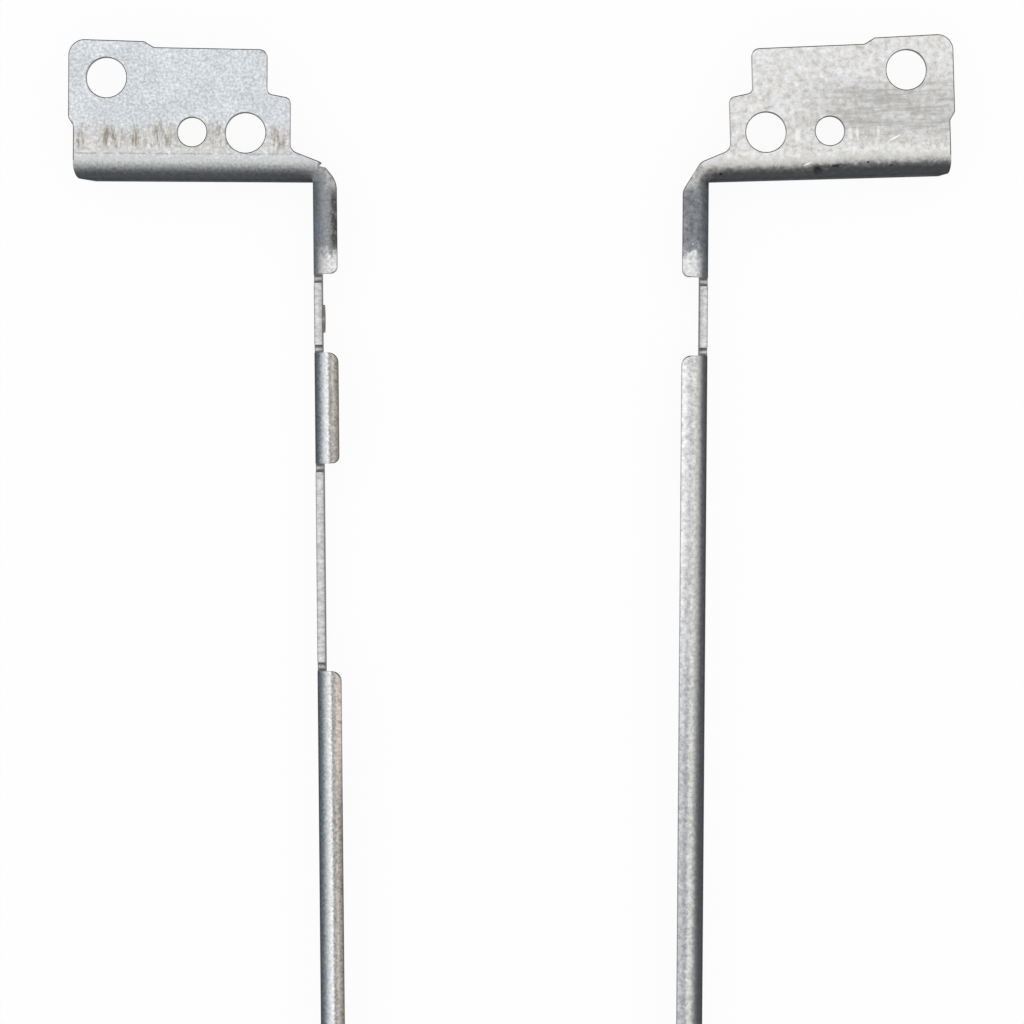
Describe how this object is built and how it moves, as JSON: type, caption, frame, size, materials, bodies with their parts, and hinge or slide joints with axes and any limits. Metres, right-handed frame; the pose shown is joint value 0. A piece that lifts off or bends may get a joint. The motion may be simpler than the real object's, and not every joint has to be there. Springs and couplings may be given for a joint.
{
  "type": "laptop hinge pair",
  "caption": "Left and right pressed steel screen brackets for a laptop lid, each with a screw plate, a lipped rail and a friction hinge to a base bracket.",
  "frame": {"origin": "middle of the pair's footprint, at the level of the rails' back edges", "axes": "+X across the pair from the left bracket to the right one, +Y along the rails from the hinge pins to the screw plates, +Z out of the screen's front"},
  "size_m": [0.0888, 0.1662, 0.0091],
  "materials": {
    "galvanised_sheet": "satin galvanised",
    "plated_sheet": "nickel plated",
    "turned_steel": "turned",
    "washer_steel": "oiled",
    "spring_steel": "blued",
    "nut_steel": "zinc plated"
  },
  "bodies": {
    "screen_brackets": {"left_screen_bracket": "galvanised_sheet", "left_hinge_pin": "turned_steel", "left_inner_friction_washer": "washer_steel", "left_outer_friction_washer": "washer_steel", "left_stop_washer": "washer_steel", "left_disc_spring_1": "spring_steel", "left_disc_spring_2": "spring_steel", "left_disc_spring_3": "spring_steel", "left_disc_spring_4": "spring_steel", "left_thrust_washer": "washer_steel", "left_lock_nut": "nut_steel", "right_screen_bracket": "galvanised_sheet", "right_hinge_pin": "turned_steel", "right_inner_friction_washer": "washer_steel", "right_outer_friction_washer": "washer_steel", "right_stop_washer": "washer_steel", "right_disc_spring_1": "spring_steel", "right_disc_spring_2": "spring_steel", "right_disc_spring_3": "spring_steel", "right_disc_spring_4": "spring_steel", "right_thrust_washer": "washer_steel", "right_lock_nut": "nut_steel"},
    "left_base": {"left_base_bracket": "plated_sheet"},
    "right_base": {"right_base_bracket": "plated_sheet"}
  },
  "joints": [
    {"name": "left_hinge", "type": "hinge", "parent": "screen_brackets", "child": "left_base", "pos_m": [-0.01993, -0.07944, 0.0036], "axis": [1, 0.0096, 0], "range_deg": [0, 140]},
    {"name": "right_hinge", "type": "hinge", "parent": "screen_brackets", "child": "right_base", "pos_m": [0.02004, -0.07944, 0.0036], "axis": [1, -0.0079, 0], "range_deg": [0, 140]}
  ]
}
